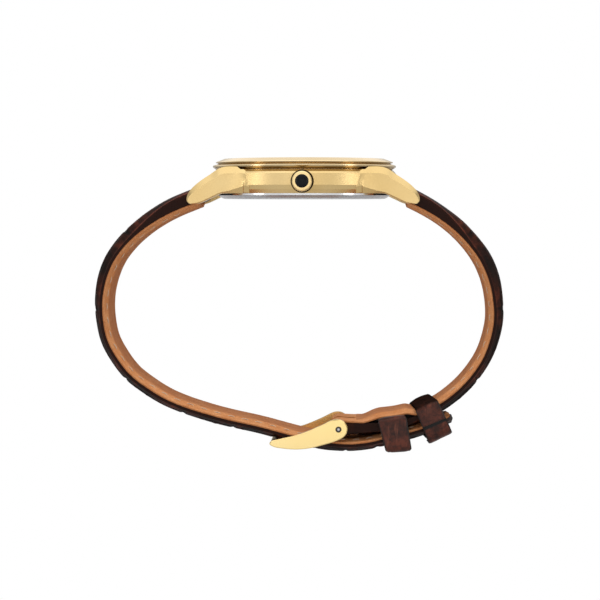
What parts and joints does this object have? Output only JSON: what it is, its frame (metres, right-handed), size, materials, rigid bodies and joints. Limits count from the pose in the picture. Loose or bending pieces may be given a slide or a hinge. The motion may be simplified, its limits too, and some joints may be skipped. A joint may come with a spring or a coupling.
{
  "type": "wristwatch",
  "caption": "Thin round analogue dress wristwatch with stepped bezel, curved lugs and cabochon crown on a fastened leather strap with tang buckle and keepers.",
  "frame": {"origin": "centre of the case back's outer face", "axes": "+Z from the case back towards the dial and crystal, +X towards 12 o'clock and the short strap, -Y towards 3 o'clock and the crown"},
  "size_m": [0.0855, 0.0425, 0.0614],
  "materials": {
    "gold": "polished and brushed gold plating",
    "gold_buckle": "polished gold plating",
    "cabochon": "gloss",
    "crystal": "clear, polished",
    "gasket": "matte",
    "dial_ring": "satin",
    "dial": "satin sunray",
    "dial_metal": "polished",
    "steel": "brushed",
    "brass_tube": "satin",
    "plastic_ring": "matte",
    "circuit": "matte",
    "copper": "enamelled wire",
    "leather_brown": "embossed, glossy",
    "padding": "split leather board",
    "leather_tan": "nubuck",
    "leather_keeper": "smooth, glossy"
  },
  "bodies": {
    "root": {"battery": "steel", "battery_clamp": "steel", "bezel": "gold", "bridge_screws": "steel", "buckle_spring_bar_tube": "steel", "case_back": "steel", "case_back_gasket": "gasket", "case_middle": "gold", "case_spring_bar_tubes": "steel", "case_tube": "brass_tube", "circuit_board": "circuit", "coil_core": "steel", "coil_winding": "copper", "crystal": "crystal", "crystal_gasket": "gasket", "dial": "dial", "dial_ring": "dial_ring", "fixed_keeper": "leather_keeper", "hour_markers": "dial_metal", "main_plate": "brass_tube", "movement_ring": "plastic_ring", "quartz_oscillator": "steel", "spring_bar_springs": "steel", "stator": "steel", "strap_long_core": "padding", "strap_long_lining": "leather_tan", "strap_long_outer": "leather_brown", "strap_short_core": "padding", "strap_short_lining": "leather_tan", "strap_short_outer": "leather_brown", "train_bridge": "brass_tube"},
    "crown_slider": {"crown_gasket": "gasket"},
    "crown_assembly": {"crown": "gold", "crown_cabochon": "cabochon", "winding_stem": "steel"},
    "setting_lever": {"setting_lever": "steel"},
    "yoke": {"yoke": "steel"},
    "sliding_pinion": {"sliding_pinion": "steel"},
    "minute_hand_group": {"cannon_pinion": "brass_tube", "minute_hand": "dial_metal"},
    "hour_hand_group": {"hour_wheel": "brass_tube", "hour_hand": "dial_metal"},
    "minute_wheel": {"minute_wheel": "brass_tube"},
    "setting_wheel": {"setting_wheel": "brass_tube"},
    "seconds_hand_group": {"fourth_wheel": "brass_tube", "seconds_hand": "dial_metal"},
    "fifth_wheel": {"fifth_wheel": "brass_tube"},
    "rotor": {"rotor": "steel"},
    "third_wheel": {"third_wheel": "brass_tube"},
    "centre_wheel": {"centre_wheel": "brass_tube"},
    "buckle_frame": {"buckle_frame": "gold_buckle"},
    "buckle_tongue": {"buckle_tongue": "gold_buckle"},
    "free_keeper": {"free_keeper": "leather_keeper"},
    "buckle_bar_tip_crown_side": {"buckle_bar_tip_crown_side": "steel"},
    "buckle_bar_tip_far_side": {"buckle_bar_tip_far_side": "steel"},
    "long_bar_tip_crown_side": {"long_bar_tip_crown_side": "steel"},
    "long_bar_tip_far_side": {"long_bar_tip_far_side": "steel"},
    "short_bar_tip_crown_side": {"short_bar_tip_crown_side": "steel"},
    "short_bar_tip_far_side": {"short_bar_tip_far_side": "steel"}
  },
  "joints": [
    {"name": "crown_pull", "type": "slide", "parent": "root", "child": "crown_slider", "axis": [0, -1, 0], "range_m": [0, 0.0012]},
    {"name": "crown_turn", "type": "hinge", "parent": "crown_slider", "child": "crown_assembly", "pos_m": [0, -0.021, 0.00354], "axis": [0, 1, 0], "continuous": true},
    {"name": "setting_lever_turn", "type": "hinge", "parent": "root", "child": "setting_lever", "pos_m": [0.0026, -0.0104, 0.0043], "axis": [0, 0, 1], "range_deg": [0, 27]},
    {"name": "yoke_turn", "type": "hinge", "parent": "root", "child": "yoke", "pos_m": [-0.0032, -0.0099, 0.0046], "axis": [0, 0, 1], "range_deg": [0, 6]},
    {"name": "clutch_slide", "type": "slide", "parent": "root", "child": "sliding_pinion", "axis": [0, 1, 0], "range_m": [0, 0.00031]},
    {"name": "minute_hand_turn", "type": "hinge", "parent": "root", "child": "minute_hand_group", "pos_m": [0, 0, 0.006], "axis": [0, 0, 1], "continuous": true},
    {"name": "hour_hand_turn", "type": "hinge", "parent": "root", "child": "hour_hand_group", "pos_m": [0, 0, 0.0055], "axis": [0, 0, 1], "continuous": true},
    {"name": "minute_wheel_turn", "type": "hinge", "parent": "root", "child": "minute_wheel", "pos_m": [0, -0.003, 0.005], "axis": [0, 0, 1], "continuous": true},
    {"name": "setting_wheel_turn", "type": "hinge", "parent": "root", "child": "setting_wheel", "pos_m": [0, -0.00625, 0.0046], "axis": [0, 0, 1], "continuous": true},
    {"name": "seconds_hand_turn", "type": "hinge", "parent": "root", "child": "seconds_hand_group", "pos_m": [0, 0, 0.005], "axis": [0, 0, 1], "continuous": true},
    {"name": "fifth_wheel_turn", "type": "hinge", "parent": "root", "child": "fifth_wheel", "pos_m": [-0.00221, 0.00221, 0.0025], "axis": [0, 0, 1], "continuous": true},
    {"name": "rotor_turn", "type": "hinge", "parent": "root", "child": "rotor", "pos_m": [-0.00399, 0.00399, 0.003], "axis": [0, 0, 1], "continuous": true},
    {"name": "third_wheel_turn", "type": "hinge", "parent": "root", "child": "third_wheel", "pos_m": [0.00283, 0.00283, 0.003], "axis": [0, 0, 1], "continuous": true},
    {"name": "centre_wheel_turn", "type": "hinge", "parent": "root", "child": "centre_wheel", "pos_m": [0, 0, 0.0032], "axis": [0, 0, 1], "continuous": true},
    {"name": "buckle_turn", "type": "hinge", "parent": "root", "child": "buckle_frame", "pos_m": [0.00737, 0, -0.0482], "axis": [0, -1, 0], "range_deg": [0, 4]},
    {"name": "tongue_turn", "type": "hinge", "parent": "buckle_frame", "child": "buckle_tongue", "pos_m": [0.00737, 0, -0.0482], "axis": [0, -1, 0], "range_deg": [0, 3]},
    {"name": "free_keeper_slide", "type": "slide", "parent": "root", "child": "free_keeper", "axis": [0.8988, 0, 0.4384], "range_m": [-0.0002, 0.002]},
    {"name": "buckle_bar_tip_crown_side_press", "type": "slide", "parent": "root", "child": "buckle_bar_tip_crown_side", "axis": [0, 1, 0], "range_m": [0, 0.0009]},
    {"name": "buckle_bar_tip_far_side_press", "type": "slide", "parent": "root", "child": "buckle_bar_tip_far_side", "axis": [0, -1, 0], "range_m": [0, 0.0009]},
    {"name": "long_bar_tip_crown_side_press", "type": "slide", "parent": "root", "child": "long_bar_tip_crown_side", "axis": [0, 1, 0], "range_m": [0, 0.0009], "deforming": ["spring_bar_springs"]},
    {"name": "long_bar_tip_far_side_press", "type": "slide", "parent": "root", "child": "long_bar_tip_far_side", "axis": [0, -1, 0], "range_m": [0, 0.0009]},
    {"name": "short_bar_tip_crown_side_press", "type": "slide", "parent": "root", "child": "short_bar_tip_crown_side", "axis": [0, 1, 0], "range_m": [0, 0.0009]},
    {"name": "short_bar_tip_far_side_press", "type": "slide", "parent": "root", "child": "short_bar_tip_far_side", "axis": [0, -1, 0], "range_m": [0, 0.0009]}
  ],
  "couplings": [
    {"joint": "setting_lever_turn", "follows": "crown_pull", "rad_per_m": 384.6},
    {"joint": "yoke_turn", "follows": "crown_pull", "rad_per_m": 78.1},
    {"joint": "clutch_slide", "follows": "crown_pull", "ratio": 0.25},
    {"joint": "hour_hand_turn", "follows": "minute_hand_turn", "ratio": 0.083333},
    {"joint": "minute_wheel_turn", "follows": "minute_hand_turn", "ratio": -0.33333},
    {"joint": "setting_wheel_turn", "follows": "minute_hand_turn", "ratio": 0.75},
    {"joint": "fifth_wheel_turn", "follows": "seconds_hand_turn", "ratio": -5},
    {"joint": "rotor_turn", "follows": "seconds_hand_turn", "ratio": 30},
    {"joint": "third_wheel_turn", "follows": "seconds_hand_turn", "ratio": -0.13333},
    {"joint": "centre_wheel_turn", "follows": "seconds_hand_turn", "ratio": 0.016667}
  ]
}
